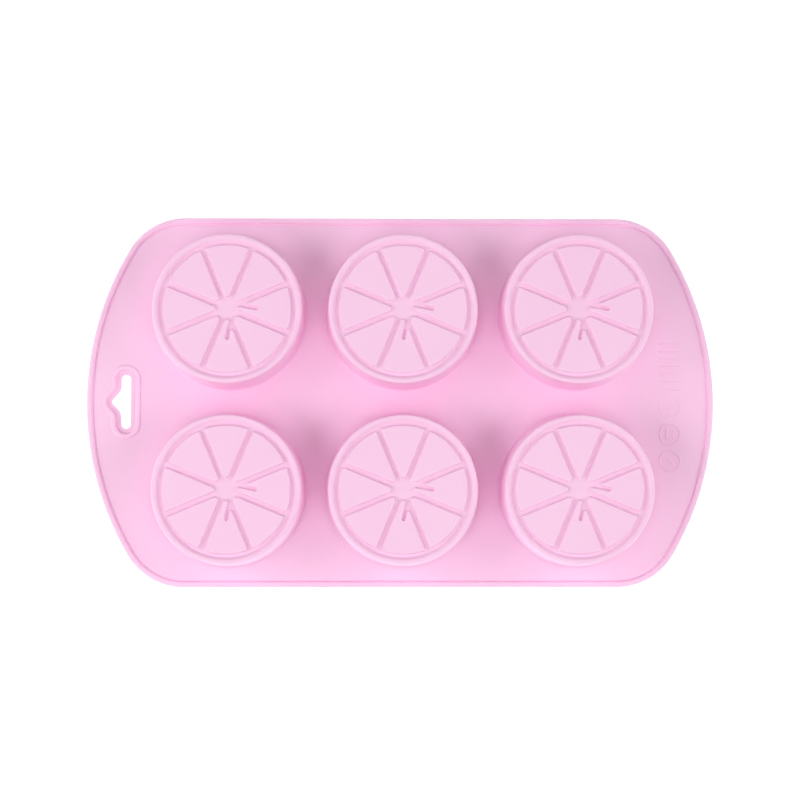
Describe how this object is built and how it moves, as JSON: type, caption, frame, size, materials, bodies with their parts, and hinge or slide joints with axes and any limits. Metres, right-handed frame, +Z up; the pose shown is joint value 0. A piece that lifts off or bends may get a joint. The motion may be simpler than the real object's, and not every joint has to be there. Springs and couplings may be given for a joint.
{
  "type": "soap mould",
  "caption": "Flexible soap mould: a bowed-end sheet with round cups in two rows, a citrus-slice relief on each cup's closed end, a beaded edge and a hang slot.",
  "frame": {"origin": "middle of the sheet's outline, on the plane of its filling side, which the mould lies on with its cups up", "axes": "+Z up through the cups' closed ends, +X along the length away from the hang slot, +Y across the width"},
  "size_m": [0.295, 0.174, 0.026],
  "materials": {
    "pink_silicone": "soft satin moulded silicone"
  },
  "bodies": {
    "mould_sheet": {"deck": "pink_silicone", "edge_bead": "pink_silicone", "hang_collar": "pink_silicone", "care_marks": "pink_silicone", "cup_wall_1": "pink_silicone", "cup_wall_2": "pink_silicone", "cup_wall_3": "pink_silicone", "cup_wall_4": "pink_silicone", "cup_wall_5": "pink_silicone", "cup_wall_6": "pink_silicone"},
    "cup_end_1": {"rind_lip_1": "pink_silicone", "slice_floor_1": "pink_silicone", "slice_segments_1": "pink_silicone"},
    "cup_end_2": {"rind_lip_2": "pink_silicone", "slice_floor_2": "pink_silicone", "slice_segments_2": "pink_silicone"},
    "cup_end_3": {"rind_lip_3": "pink_silicone", "slice_floor_3": "pink_silicone", "slice_segments_3": "pink_silicone"},
    "cup_end_4": {"rind_lip_4": "pink_silicone", "slice_floor_4": "pink_silicone", "slice_segments_4": "pink_silicone"},
    "cup_end_5": {"rind_lip_5": "pink_silicone", "slice_floor_5": "pink_silicone", "slice_segments_5": "pink_silicone"},
    "cup_end_6": {"rind_lip_6": "pink_silicone", "slice_floor_6": "pink_silicone", "slice_segments_6": "pink_silicone"}
  },
  "joints": [
    {"name": "cup_1_push_out", "type": "slide", "parent": "mould_sheet", "child": "cup_end_1", "axis": [0, 0, -1], "range_m": [0, 0.012], "stiffness_N_per_m": 600, "deforming": ["cup_wall_1"]},
    {"name": "cup_2_push_out", "type": "slide", "parent": "mould_sheet", "child": "cup_end_2", "axis": [0, 0, -1], "range_m": [0, 0.012], "stiffness_N_per_m": 600, "deforming": ["cup_wall_2"]},
    {"name": "cup_3_push_out", "type": "slide", "parent": "mould_sheet", "child": "cup_end_3", "axis": [0, 0, -1], "range_m": [0, 0.012], "stiffness_N_per_m": 600, "deforming": ["cup_wall_3"]},
    {"name": "cup_4_push_out", "type": "slide", "parent": "mould_sheet", "child": "cup_end_4", "axis": [0, 0, -1], "range_m": [0, 0.012], "stiffness_N_per_m": 600, "deforming": ["cup_wall_4"]},
    {"name": "cup_5_push_out", "type": "slide", "parent": "mould_sheet", "child": "cup_end_5", "axis": [0, 0, -1], "range_m": [0, 0.012], "stiffness_N_per_m": 600, "deforming": ["cup_wall_5"]},
    {"name": "cup_6_push_out", "type": "slide", "parent": "mould_sheet", "child": "cup_end_6", "axis": [0, 0, -1], "range_m": [0, 0.012], "stiffness_N_per_m": 600, "deforming": ["cup_wall_6"]}
  ]
}
